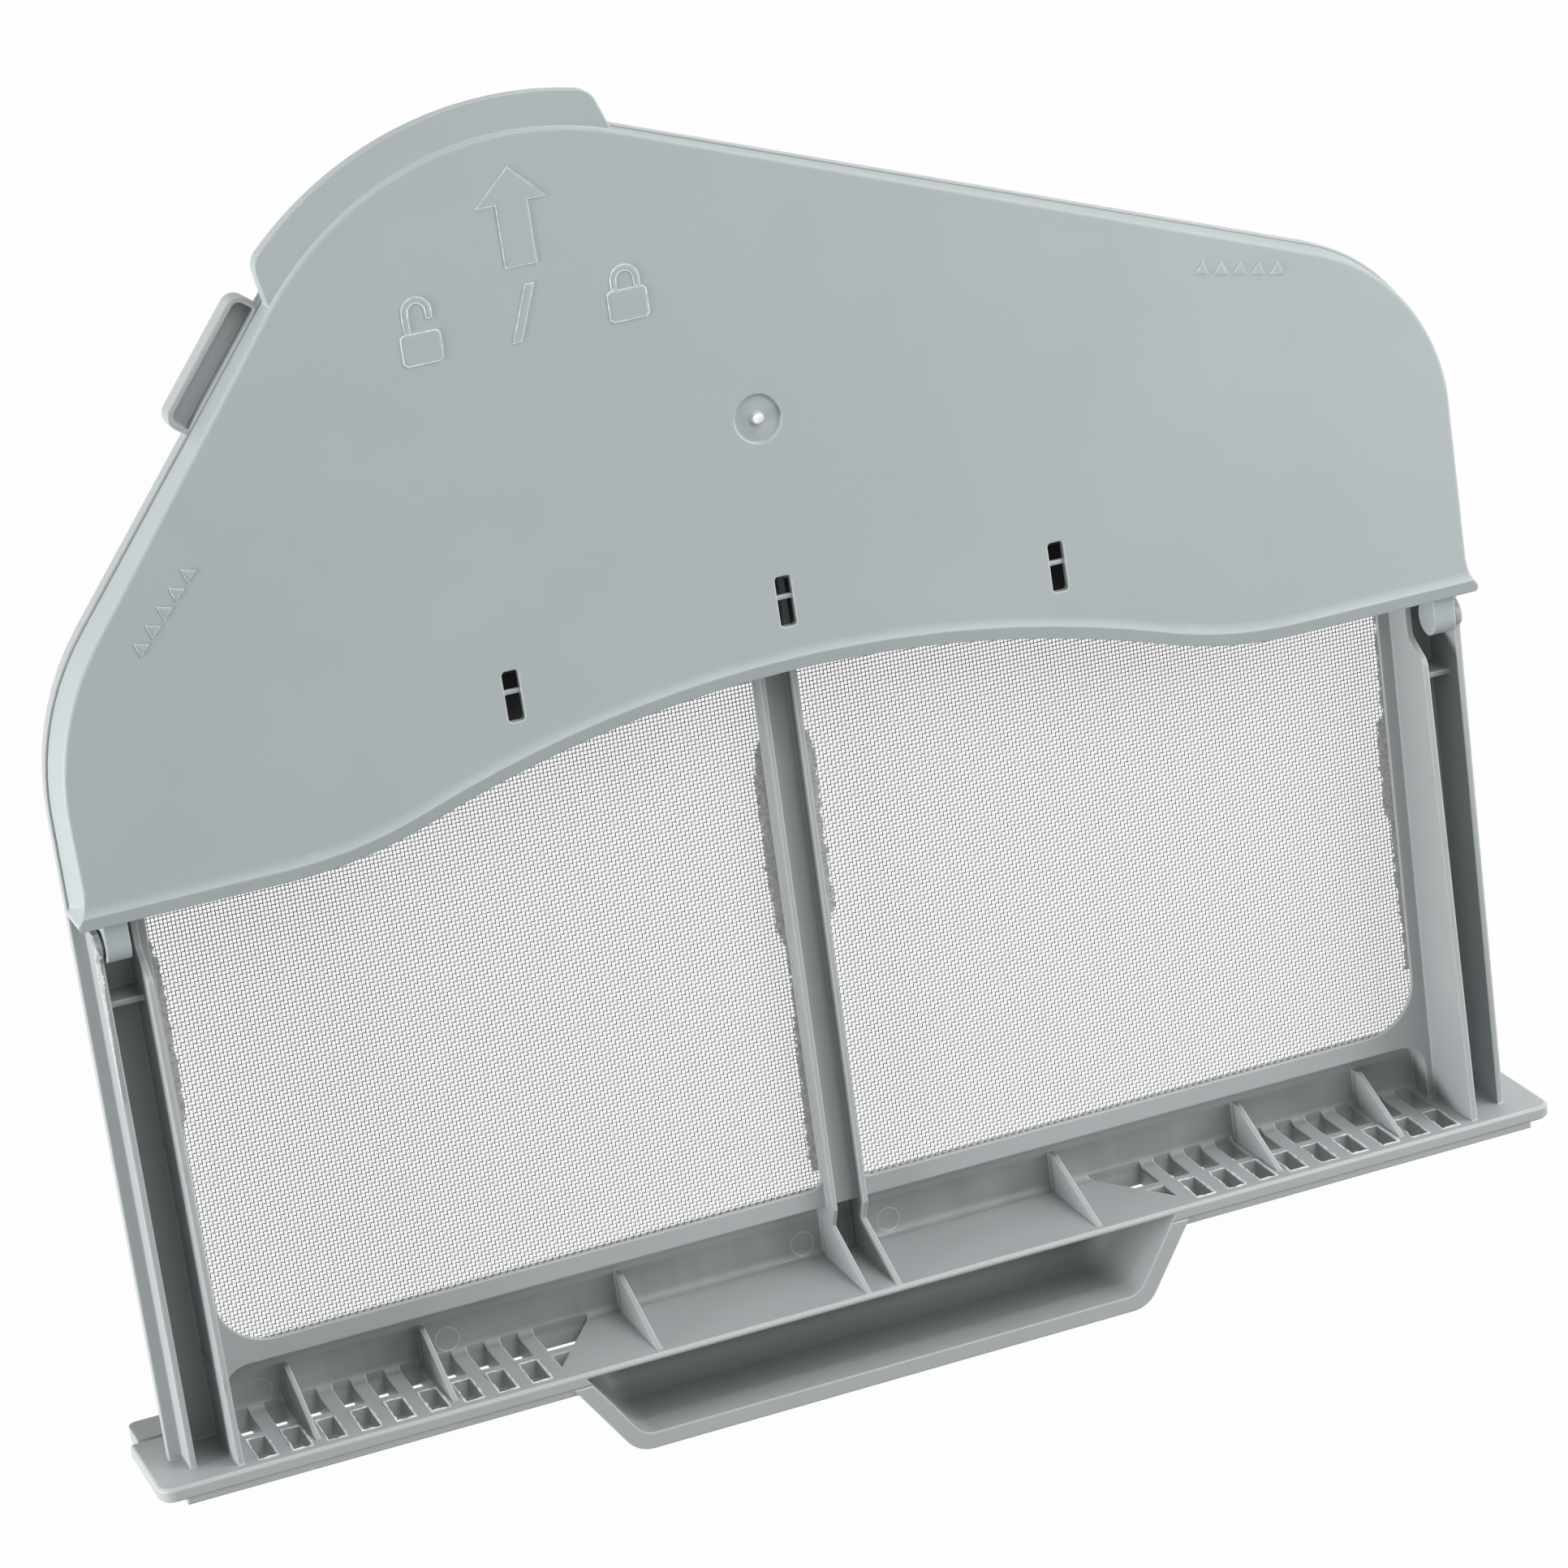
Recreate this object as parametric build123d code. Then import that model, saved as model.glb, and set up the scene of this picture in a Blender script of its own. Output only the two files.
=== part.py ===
from build123d import *
import math
import os

# Tumble dryer lint filter: a screen frame with a flange and a finger handle, two woven screens and a
# hinged cover. Sizes are in millimetres. X runs along the flange, Y up the screen and Z out of its front.
# While the pieces are drawn, y = 0 is the flange's inner face and z = 0 is its rear edge.

# Flange
flange_overhang = 5.6
flange_depth = 37.6
flange_thick = 3.2
flange_front_radius = 3.5
flange_rear_radius = 2.0
flange_edge_bevel = 0.5
end_slot_z = 10.3
end_slot_width = 1.4
end_slot_length = 10.5
end_step = 2.0

# Outline of the screen frame: two upright sides, a slanted left edge and a falling top edge
half_width = 159.4
left_corner_height = 167.0
right_corner_height = 196.7
slant_angle = 51.0
top_angle = 20.2
left_radius = 58.0
peak_radius = 71.0
right_radius = 42.5

# Section of the frame, as heights above the flange's rear edge
plate_front = 17.0
plate_thick = 2.0
rim_top = 23.6
rim_tier = 21.2
rim_foot = 18.8
tier_inset = 0.5
foot_inset = 2.0
rim_width = 4.4

# Rails beside the screen, each with an outer and an inner rib
rail_width = 9.2
outer_rib_thick = 1.4
outer_rib_rise = 1.5
inner_rib_thick = 1.4
inner_rib_setback = 2.5
inner_rib_rise = 2.7
inner_rib_fall = 8.8
inner_rib_fall_length = 4.6
inner_rib_bend = 2.5
low_rib_rise = 1.4
low_rib_reach = 12.0
cross_rib_drop = 14.4
cross_rib_thick = 1.2
cross_rib_rise = 2.0

# Hinge
hinge_y = 118.4
hinge_z = 28.7
hinge_boss_radius = 3.0
pin_radius = 1.75
pin_clearance = 0.05
pin_stand_out = 0.1
arm_eye_radius = 3.9
arm_width = 5.2
arm_side_gap = 0.6

# Bay behind the vents
bay_side_gap = 1.8
bay_height = 13.8
bay_floor = 10.4
bay_wall = 1.6
bay_corner = 6.0
bay_cove = 2.2

# Vents through the flange, and the gussets between them
vent_width = 4.2
vent_pitch = 7.7
vent_first = 76.8
vent_back = 10.6
vent_back_length = 11.0
vent_bar = 2.5
vent_front_edge = 2.7
vent_end = 60.4
vent_end_angle = 32.2
vent_rib_thick = 1.5
vent_rib_depth = 4.0
vent_pad_depth = 1.4
vent_pad_margin = 2.0
gusset_thick = 1.2
gusset_height = 9.2
gusset_nose = 3.0
side_gusset_x = 52.3
side_gusset_setback = 1.7
vent_gusset_setback = 4.4
first_gusset_column = 3
gusset_column_step = 4

# Centre ribs
centre_rib_x = 3.65
centre_rib_thick = 1.1
centre_rib_drop = 2.6
centre_rib_dip = 5.3
centre_rib_dip_length = 4.8
centre_rib_setback = 0.7

# Windows and their woven screens
window_border = 16.7
window_bottom = 18.2
window_centre_gap = 4.6
window_outer_corner = 12.0
window_inner_corner = 2.5
tie_rise = 24.5
tie_width = 20.0
tie_height = 1.3
mesh_seat = 1.5
mesh_seat_depth = 1.1
mesh_clearance = 0.2
mesh_wall = 0.5
ridge_height = 0.3
ridge_width = 2.0
ridge_pitch = 7.0
ridge_margin = 0.6
mesh_gap = 2.8
gap_column_step = 4

# Finger handle under the flange
handle_top_half = 73.0
handle_bottom_half = 61.0
handle_drop = 21.5
handle_depth = 26.0
handle_wall = 3.6
handle_back_wall = 2.2
handle_top_skin = 1.2
handle_corner = 7.0
handle_rear_round = 6.0
hollow_corner = 5.0
hollow_round = 4.5

# Finger tab on the slanted edge
tab_start = 65.5
tab_length = 30.0
tab_reach = 5.6
tab_corner = 3.0
tab_rim = 1.2
tab_dish = 3.0

# Cover
cover_gap = 0.3
cover_inset = 0.6
cover_taper = 7.5
cover_wall = 2.0
cover_front = 34.6
cover_front_angle = 2.9
cover_edge_round = 0.8
lip_setback = 5.5
lip_rise = 18.9
lip_crest_radius = 260.0
lip_blend_radius = 100.0
lip_band = 4.9
lip_ridge = 2.9
lip_ridge_height = 0.7
lip_edge_drop = 0.2
lip_bead_width = 2.5
lip_bead_depth = 2.2
foot_reach = 0.1
foot_length = 7.6
foot_radius = 10.0
foot_round = 0.9
finger_lip_reach = 7.1
finger_lip_drop = 0.8
finger_lip_corner = 4.6
finger_lip_trim = 1.2
finger_lip_lean = 4.2
slot_width = 3.7
slot_length = 11.0
slot_corner = 0.9
slot_bar = 0.9
slot_bar_rise = 0.8
slot_bar_sink = 0.8
side_slot_x = 61.7
side_slot_rise = 27.5
centre_slot_rise = 33.9
gate_rise = 73.4
gate_radius = 5.2
gate_depth = 0.7
gate_nub_radius = 1.3
latch_width = 10.0
latch_thick = 1.6
latch_gap = 1.0
latch_depth = 5.4
left_latch_angle = 150.0
right_latch_angle = 56.0

# Sizes that follow from the ones above
flange_length = 2 * (half_width + flange_overhang)
plate_rear = plate_front - plate_thick
outer_rib_x = half_width - rim_width + outer_rib_thick / 2
inner_rib_x = outer_rib_x - rail_width
bay_rear = bay_floor - bay_wall
bay_half = inner_rib_x - inner_rib_thick / 2 - bay_side_gap
vent_wall = vent_pitch - vent_width
vent_columns = int((bay_half - vent_first + vent_wall) / vent_pitch)
vent_front = vent_back + vent_back_length + vent_bar
vent_rows = ((vent_back, vent_front - vent_bar), (vent_front, flange_depth - vent_front_edge))
lip_y = hinge_y + lip_setback
cover_rear = rim_top + cover_gap
arm_x = outer_rib_x - outer_rib_thick / 2 - arm_side_gap - arm_width / 2
cover_front_x = half_width - cover_inset - (cover_front - cover_rear) * math.tan(math.radians(cover_taper))
mesh_front = plate_rear + mesh_seat_depth
above_all = 2 * flange_depth
beyond_all = 2 * flange_length


# The outline's three upper corners, all sides moved inwards by inset. With a corner's own radius as the
# inset, this is the centre of that corner's arc.
def corners(inset):
    slant = math.radians(slant_angle)
    fall = math.radians(top_angle)
    along_slant = Vector(math.cos(slant), math.sin(slant))
    along_top = Vector(math.cos(fall), -math.sin(fall))
    on_slant = Vector(-half_width, left_corner_height) + inset * Vector(math.sin(slant), -math.cos(slant))
    on_top = Vector(half_width, right_corner_height) - inset * Vector(math.sin(fall), math.cos(fall))
    side = half_width - inset
    left = on_slant + along_slant * ((-side - on_slant.X) / along_slant.X)
    right = on_top + along_top * ((side - on_top.X) / along_top.X)
    across = on_top - on_slant
    reach = across.cross(along_top).Z / along_slant.cross(along_top).Z
    return left, on_slant + along_slant * reach, right


# Height of the falling top edge, moved inwards by inset, at a place along X
def top_height(inset, x):
    right = corners(inset)[2]
    return right.Y + (right.X - x) * math.tan(math.radians(top_angle))


# A flat outline raised from one height to another
def raised(face, low, high, taper=0.0):
    return extrude(Pos(0, 0, low) * face, high - low, dir=(0, 0, 1), taper=taper)


def outline(inset):
    left, peak, right = corners(inset)
    path = FilletPolyline(
        (right.X, 0), right, peak, left, (left.X, 0),
        radius=(right_radius - inset, peak_radius - inset, left_radius - inset),
    )
    return make_face(path + Line((left.X, 0), (right.X, 0)))


def ring(outer_inset, low, high):
    band = outline(outer_inset) - outline(rim_width)
    return raised(band, low, high)


# One window's outline, grown outwards by grow; side is -1 on the left and 1 on the right
def window(side, grow):
    inset = window_border - grow
    left, peak, right = corners(inset)
    inner_x = side * (window_centre_gap - grow)
    low = window_bottom - grow
    top = (inner_x, top_height(inset, inner_x))
    if side > 0:
        points = [(inner_x, low), (right.X, low), right, top]
        arcs = [right_radius - inset]
    else:
        points = [(inner_x, low), (left.X, low), left, peak, top]
        arcs = [left_radius - inset, peak_radius - inset]
    inner_corner = window_inner_corner + grow
    radii = [inner_corner, window_outer_corner + grow] + arcs + [inner_corner]
    return make_face(FilletPolyline(*points, radius=radii, close=True))


# A flat rib that stands in a Y-Z plane at x, from its corner points (y, z)
def upright(x, thick, points):
    plane = Plane(origin=(x - thick / 2, 0, 0), x_dir=(0, 1, 0), z_dir=(1, 0, 0))
    return extrude(plane * make_face(Polyline(*points, close=True)), thick)


def disc(x, thick, radius):
    return Pos(x, hinge_y, hinge_z) * Rot(0, 90, 0) * Cylinder(radius, thick)


def flange():
    front = flange_depth
    half = flange_length / 2
    rear_half = half - end_step
    path = Polyline(
        (-rear_half, 0), (rear_half, 0), (rear_half, end_slot_z), (half, end_slot_z), (half, front),
        (-half, front), (-half, end_slot_z), (-rear_half, end_slot_z), close=True,
    )
    shape = make_face(path)
    shape = fillet(shape.vertices().group_by(Axis.Y)[0], flange_rear_radius)
    shape = fillet(shape.vertices().group_by(Axis.Y)[-1], flange_front_radius)
    plate = extrude(Plane.XZ * shape, flange_thick)
    long_edges = plate.edges().filter_by(Axis.X).group_by(Axis.Z)[-1]
    plate = chamfer(long_edges, flange_edge_bevel)
    for side in (-1, 1):
        slot = Box(2 * end_slot_length, 2 * flange_thick, end_slot_width)
        plate -= Pos(side * half, -flange_thick / 2, end_slot_z) * slot
    return plate


# Both rows of vents on one side, with the slanted cells that end them towards the middle
def vents(side):
    cells = Sketch()
    end_x = vent_first - vent_wall
    end_rise = (end_x - vent_end) / math.tan(math.radians(vent_end_angle))
    end_cell = make_face(
        Polyline((vent_end, vent_back), (end_x, vent_back), (end_x, vent_back + end_rise), close=True)
    )
    for low, high in vent_rows:
        middle = (low + high) / 2
        for column in range(vent_columns):
            x = vent_first + vent_width / 2 + column * vent_pitch
            cells += Pos(x, middle) * Rectangle(vent_width, high - low)
        cells += end_cell & Pos(0, middle) * Rectangle(beyond_all, high - low)
    plane = Plane(origin=(0, flange_thick, 0), x_dir=(side, 0, 0), z_dir=(0, -side, 0))
    return extrude(plane * cells, side * 3 * flange_thick)


def gussets(side):
    bar_middle = vent_first - vent_wall / 2
    places = [(side_gusset_x, side_gusset_setback)]
    for column in range(first_gusset_column, vent_columns, gusset_column_step):
        places.append((bar_middle + column * vent_pitch, vent_gusset_setback))
    nose = bay_floor + gusset_nose
    ribs = []
    for x, setback in places:
        foot = flange_depth - setback
        points = [(0, bay_rear), (0, foot), (gusset_height, nose), (gusset_height, bay_rear)]
        ribs.append(upright(side * x, gusset_thick, points))
    return ribs


def centre_ribs():
    top = top_height(rim_width, 0) + rim_width / 2
    foot = flange_depth - centre_rib_setback
    dip_end = gusset_height + centre_rib_dip_length
    high = rim_top - centre_rib_drop
    points = [
        (0, bay_rear), (0, foot), (gusset_height, rim_top - centre_rib_dip), (dip_end, high),
        (top, high), (top, plate_rear), (bay_height, plate_rear), (bay_height, bay_rear),
    ]
    return [upright(side * centre_rib_x, centre_rib_thick, points) for side in (-1, 1)]


# Outer rib on the rim with the hinge boss, inner rib beside the screen, which falls to a low rib before
# the hinge, and the cross rib between them
def rails(side):
    outer_end = hinge_y + hinge_boss_radius
    outer_top = hinge_z + outer_rib_rise
    outer = [(0, plate_rear), (0, outer_top), (outer_end, outer_top), (outer_end, plate_rear)]
    inner_end = lip_y + low_rib_reach
    fall_start = hinge_y - inner_rib_fall
    low_top = rim_top + low_rib_rise
    inner = [
        (0, plate_rear), (0, flange_depth - inner_rib_setback), (fall_start, hinge_z + inner_rib_rise),
        (fall_start + inner_rib_fall_length, low_top), (inner_end, low_top), (inner_end, plate_rear),
    ]
    inner_rib = upright(side * inner_rib_x, inner_rib_thick, inner)
    bends = inner_rib.edges().filter_by(Axis.X).sort_by(Axis.Y)[2:4]
    cross_height = rim_top + cross_rib_rise - plate_rear
    cross = Box(rail_width, cross_rib_thick, cross_height)
    cross_place = Pos(
        side * (inner_rib_x + rail_width / 2), hinge_y - cross_rib_drop, plate_rear + cross_height / 2
    )
    rail = upright(side * outer_rib_x, outer_rib_thick, outer)
    rail += fillet(bends, inner_rib_bend)
    rail += disc(side * outer_rib_x, outer_rib_thick, hinge_boss_radius)
    rail += cross_place * cross
    return rail - disc(side * outer_rib_x, 4 * rail_width, pin_radius + pin_clearance)


def bay():
    def room(grow):
        half = bay_half + grow
        high = bay_height + grow
        corner = bay_corner + grow
        path = FilletPolyline((-half, 0), (-half, high), (half, high), (half, 0), radius=(corner, corner))
        return make_face(path + Line((half, 0), (-half, 0)))

    tub = raised(room(bay_wall), bay_rear, plate_front)
    hollow = raised(room(0), bay_floor, above_all)
    corner = Box(2 * bay_half, bay_cove, bay_cove)
    round_room = Pos(0, bay_cove / 2, bay_cove / 2) * Rot(0, 90, 0) * Cylinder(bay_cove, 2 * bay_half)
    cove = Pos(0, bay_cove / 2, bay_floor + bay_cove / 2) * (corner - round_room)
    return tub, hollow, cove


def handle():
    front = flange_depth
    lean = (handle_top_half - handle_bottom_half) / (handle_drop - flange_thick)

    def scoop(wall, top, low, high, corner):
        side_wall = wall * math.hypot(1, lean)
        bottom = -handle_drop + wall
        top_half = handle_top_half - side_wall + lean * (top + flange_thick)
        bottom_half = handle_bottom_half - side_wall + lean * wall
        path = FilletPolyline(
            (-top_half, top), (-bottom_half, bottom), (bottom_half, bottom), (top_half, top),
            radius=(corner, corner),
        )
        face = make_face(path + Line((top_half, top), (-top_half, top)))
        return raised(face, low, high)

    back = front - handle_depth
    body = scoop(0, -flange_thick, back, front, handle_corner)
    body_rear = body.faces().sort_by(Axis.Z)[0]
    rear_edges = [edge for edge in body_rear.edges() if edge.center().Y < -flange_thick - handle_wall / 2]
    body = fillet(rear_edges, handle_rear_round)
    hollow_back = back + handle_back_wall
    hollow = scoop(handle_wall, -handle_top_skin, hollow_back, front + handle_wall, hollow_corner)
    hollow_rear = hollow.faces().sort_by(Axis.Z)[0]
    hollow = fillet(hollow_rear.edges(), hollow_round)
    return body, hollow


# Under the flange, a raised pad round the vents and a stiffening rib between their two rows
def vent_pad(side):
    start = vent_end - vent_pad_margin
    length = half_width - start
    middle = side * (start + length / 2)
    back = vent_back - vent_pad_margin
    pad_width = flange_depth - flange_edge_bevel - back
    pad = Box(length, vent_pad_depth, pad_width)
    rib = Box(length, vent_rib_depth, vent_rib_thick)
    rib_z = vent_rows[0][1] + vent_bar / 2
    under = Pos(middle, -flange_thick - vent_pad_depth / 2, back + pad_width / 2) * pad
    return under + Pos(middle, -flange_thick - vent_rib_depth / 2, rib_z) * rib


def finger_tab():
    left = corners(0)[0]
    slant = math.radians(slant_angle)
    along = (math.cos(slant), math.sin(slant), 0)
    edge = Plane(origin=(left.X, left.Y, 0), x_dir=along, z_dir=(0, 0, 1))

    def pad(rim, low, high):
        reach = tab_reach - rim
        length = tab_length - 2 * rim
        middle = Pos(tab_start + tab_length / 2, (reach - rim_width / 2) / 2)
        shape = middle * Rectangle(length, reach + rim_width / 2)
        outer = shape.vertices().group_by(Axis.Y)[-1]
        shape = fillet(outer, tab_corner - rim)
        return raised(edge * shape, low, high)

    dish = pad(tab_rim, rim_top - tab_dish, rim_top + tab_dish)
    return pad(0, rim_foot, rim_top) - (dish - raised(outline(0), 0, above_all))


# Tie bar across one window, in front of the screen and behind the cover's slots
def tie(side):
    low = mesh_front + ridge_height + mesh_clearance
    high = plate_front + tie_height
    length = half_width - window_border + mesh_seat
    bar = Box(length, tie_width, high - low)
    return Pos(side * length / 2, lip_y + tie_rise, (low + high) / 2) * bar


def frame():
    tub, hollow, cove = bay()
    body, finger_room = handle()
    solid = raised(outline(foot_inset), plate_rear, plate_front)
    solid += ring(0, rim_tier, rim_top)
    solid += ring(tier_inset, rim_foot, rim_tier)
    solid += ring(foot_inset, plate_rear, rim_foot)
    solid += finger_tab()
    solid += tub
    solid -= hollow
    solid += flange()
    solid += cove
    solid += body
    solid += [vent_pad(side) for side in (-1, 1)]
    solid -= finger_room
    solid += centre_ribs()
    for side in (-1, 1):
        solid += gussets(side)
        solid += rails(side)
        solid -= vents(side)
        solid -= raised(window(side, 0), plate_rear, plate_front)
        solid -= raised(window(side, mesh_seat), plate_rear, mesh_front)
        solid += tie(side)
    return solid


# Arc about a centre, by the shorter way
def arc_about(centre, start, end):
    middle = (start - centre).normalized() + (end - centre).normalized()
    return ThreePointArc(start, centre + middle.normalized() * (start - centre).length, end)


# The wavy line of the cover's lower lip, from beyond one side to beyond the other. Its ends are at y = 0.
def lip_curve():
    crest = Vector(0, lip_rise - lip_crest_radius)
    reach = lip_crest_radius + lip_blend_radius
    right_blend = Vector(math.sqrt(reach**2 - (lip_blend_radius - crest.Y) ** 2), lip_blend_radius)
    right_meet = crest + (right_blend - crest) * (lip_crest_radius / reach)
    left_blend = Vector(-right_blend.X, right_blend.Y)
    left_meet = Vector(-right_meet.X, right_meet.Y)
    left_foot = Vector(left_blend.X, 0)
    right_foot = Vector(right_blend.X, 0)
    curve = Line((-flange_length, 0), left_foot)
    curve += arc_about(left_blend, left_foot, left_meet)
    curve += arc_about(crest, left_meet, right_meet)
    curve += arc_about(right_blend, right_meet, right_foot)
    return curve + Line(right_foot, (flange_length, 0))


# Everything above the lip, moved up by rise
def above_lip(rise):
    far = Polyline(
        (flange_length, 0), (flange_length, beyond_all), (-flange_length, beyond_all), (-flange_length, 0),
    )
    return raised(Pos(0, lip_y + rise, 0) * make_face(lip_curve() + far), 0, above_all)


# The sloping plane of the cover's front, moved back by depth
def front_plane(depth):
    slope = math.radians(cover_front_angle)
    normal = Vector(0, math.sin(slope), math.cos(slope))
    origin = Vector(0, lip_y, cover_front) - normal * depth
    return Plane(origin=origin, x_dir=(1, 0, 0), z_dir=normal)


# A tapered block on the outline, from the cover's rear up to the front plane moved back by depth
def wedge(inset, depth):
    crown = cover_front + lip_y * math.tan(math.radians(cover_front_angle)) + cover_wall
    block = raised(outline(inset), cover_rear, crown, cover_taper)
    return split(block, bisect_by=front_plane(depth), keep=Keep.BOTTOM)


def front_face(solid):
    facing = [face for face in solid.faces() if face.normal_at().Z > 0.9]
    return max(facing, key=lambda face: face.area)


# A section swept along the lip, from points up the cover's front and out of it
def along_lip(section):
    front = front_plane(0)
    curve_start = front.from_local_coords((-flange_length, 0, 0))
    across = Plane(origin=curve_start, x_dir=front.y_dir, z_dir=front.x_dir)
    return sweep(across * make_face(section), path=(front * lip_curve()).wire())


# The flare that rises from the cover's front to the lip's ridge
def lip_flare():
    rise = TangentArc((lip_band, 0), (lip_ridge, lip_ridge_height), tangent=(-1, 0))
    sunk = -cover_wall / 2
    return along_lip(rise + Polyline(rise @ 1, (0, lip_ridge_height), (0, sunk), (lip_band, sunk), rise @ 0))


# What is cut away in front of the lip's sloping edge, from the ridge down
def lip_front():
    fall = lip_ridge_height + lip_edge_drop
    ridge = (lip_ridge, lip_ridge_height)
    clear = lip_ridge_height + cover_wall
    low = (-lip_ridge, lip_ridge_height - 2 * fall)
    return along_lip(Polyline(ridge, (lip_ridge, clear), (-lip_ridge, clear), low, close=True))


# Lip round the peak to open the cover by, its ends leaning inwards
def finger_lip():
    centre = corners(peak_radius)[1]
    inner_radius = peak_radius - cover_inset
    start = 90 - top_angle + finger_lip_trim
    span = top_angle + slant_angle - 2 * finger_lip_trim
    root = CenterArc(centre, inner_radius, start, span)
    arc = CenterArc(
        centre, inner_radius + finger_lip_reach, start + finger_lip_lean, span - 2 * finger_lip_lean
    )
    sector = make_face(arc + Polyline(arc @ 1, root @ 1, centre, root @ 0, arc @ 0))
    outer = sector.vertices().sort_by_distance(centre)[3:]
    sector = fillet(outer, finger_lip_corner)
    block = raised(sector, cover_rear, above_all)
    return split(block, bisect_by=front_plane(finger_lip_drop), keep=Keep.BOTTOM)


# Arm that hangs from the lip, with a stub pin on its outer side
def hinge_arm(side):
    root = lip_y + 2 * lip_bead_width
    points = [
        (hinge_y, hinge_z - arm_eye_radius), (root, hinge_z), (root, above_all), (lip_y, above_all),
        (lip_y, hinge_z + arm_eye_radius), (hinge_y, hinge_z + arm_eye_radius),
    ]
    pin_end = outer_rib_x + outer_rib_thick / 2 + pin_stand_out
    pin = disc(side * (arm_x + pin_end) / 2, pin_end - arm_x, pin_radius)
    arm = upright(side * arm_x, arm_width, points)
    arm = split(arm, bisect_by=front_plane(cover_wall / 2), keep=Keep.BOTTOM)
    return arm + disc(side * arm_x, arm_width, arm_eye_radius) + pin


def latch(centre, radius, angle):
    reach = radius - rim_width - latch_gap - latch_thick / 2
    tongue = Box(latch_thick, latch_width, above_all, align=(Align.CENTER, Align.CENTER, Align.MIN))
    block = Pos(centre.X, centre.Y, rim_top - latch_depth) * Rot(0, 0, angle) * Pos(reach, 0, 0) * tongue
    return split(block, bisect_by=front_plane(cover_wall / 2), keep=Keep.BOTTOM)


# Place on the cover's front, from its x and its height y
def on_front(x, y):
    return front_plane(0) * Pos(x, (y - lip_y) / math.cos(math.radians(cover_front_angle)), 0)


def slot(x, y):
    cut = extrude(RectangleRounded(slot_width, slot_length, slot_corner), 2 * cover_wall, both=True)
    bar = Box(2 * slot_width, slot_bar, 4 * cover_wall)
    bar = Pos(0, slot_bar_rise, -slot_bar_sink - 2 * cover_wall) * bar
    return on_front(x, y) * (cut - bar)


def gate():
    cut = Cylinder(gate_radius, 2 * gate_depth) - Cylinder(gate_nub_radius, 2 * gate_depth)
    return on_front(0, lip_y + gate_rise) * cut


# The lip's flared end on one side
def foot(side):
    inner_x = cover_front_x - cover_wall
    length = half_width + foot_reach - inner_x
    block = Pos(side * (inner_x + length / 2), foot_length / 2) * Rectangle(length, foot_length)
    block -= Pos(side * (cover_front_x + foot_radius), foot_length) * Circle(foot_radius)
    tip = block.vertices().sort_by_distance((side * (half_width + foot_reach), 0))[0]
    return raised(Pos(0, lip_y) * fillet(tip, foot_round), cover_rear, above_all)


def cover():
    feet = foot(-1) + foot(1)
    shell = wedge(cover_inset, 0)
    shell = fillet(front_face(shell).edges(), cover_edge_round)
    shell += finger_lip()
    shell -= wedge(cover_inset + cover_wall, cover_wall)
    bead = split(wedge(cover_inset, cover_wall / 2), bisect_by=front_plane(cover_wall + lip_bead_depth))
    shell += bead - above_lip(lip_bead_width)
    shell += split(feet, bisect_by=front_plane(0), keep=Keep.BOTTOM)
    shell += lip_flare() & (wedge(cover_inset, -cover_wall) + feet)
    shell &= above_lip(0)
    shell -= lip_front()
    for side in (-1, 1):
        shell += hinge_arm(side)
        shell -= slot(side * side_slot_x, lip_y + side_slot_rise)
    shell -= slot(0, lip_y + centre_slot_rise)
    shell -= gate()
    shell += latch(corners(left_radius)[0], left_radius, left_latch_angle)
    shell += latch(corners(right_radius)[2], right_radius, right_latch_angle)
    return shell


def mesh(side):
    mesh_rear = mesh_front - mesh_wall
    sheet = raised(window(side, mesh_seat - mesh_clearance), mesh_rear, mesh_front)
    field = window(side, -ridge_margin)
    box = field.bounding_box()
    columns = int(box.size.X / ridge_pitch)
    rows = int(box.size.Y / ridge_pitch)
    xs = [box.min.X + (count + 0.5) * box.size.X / columns for count in range(columns)]
    ys = [box.min.Y + (count + 0.5) * box.size.Y / rows for count in range(rows)]
    warp = Sketch() + [Pos(x, box.center().Y) * Rectangle(ridge_width, box.size.Y) for x in xs]
    weft = Sketch() + [Pos(box.center().X, y) * Rectangle(box.size.X, ridge_width) for y in ys]
    sheet += raised(weft & field, mesh_front, mesh_front + ridge_height)
    sheet += raised(warp & field, mesh_rear - ridge_height, mesh_rear)
    gap_xs = [(a + b) / 2 for a, b in zip(xs, xs[1:])][1::gap_column_step]
    gap_ys = [(a + b) / 2 for a, b in zip(ys, ys[1:])][1::gap_column_step]
    squares = [Pos(x, y) * Rectangle(mesh_gap, mesh_gap) for x in gap_xs for y in gap_ys]
    inside = field.face()
    gaps = Sketch() + [
        square for square in squares if all(inside.is_inside(corner) for corner in square.vertices())
    ]
    return sheet - raised(gaps, plate_rear, plate_front)


pieces = {
    "frame": frame(),
    "cover": cover(),
    "mesh_left": mesh(-1),
    "mesh_right": mesh(1),
}

# The finished part stands with its origin under the middle of its box
highest = corners(peak_radius)[1].Y + peak_radius - cover_inset + finger_lip_reach
centring = Pos(0, (handle_drop - highest) / 2, 0)

os.makedirs("parts", exist_ok=True)
for name, piece in pieces.items():
    export_step(centring * piece, f"parts/{name}.step")
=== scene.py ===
import bmesh
import bpy
import math
from mathutils import Matrix, Vector, noise


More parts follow.
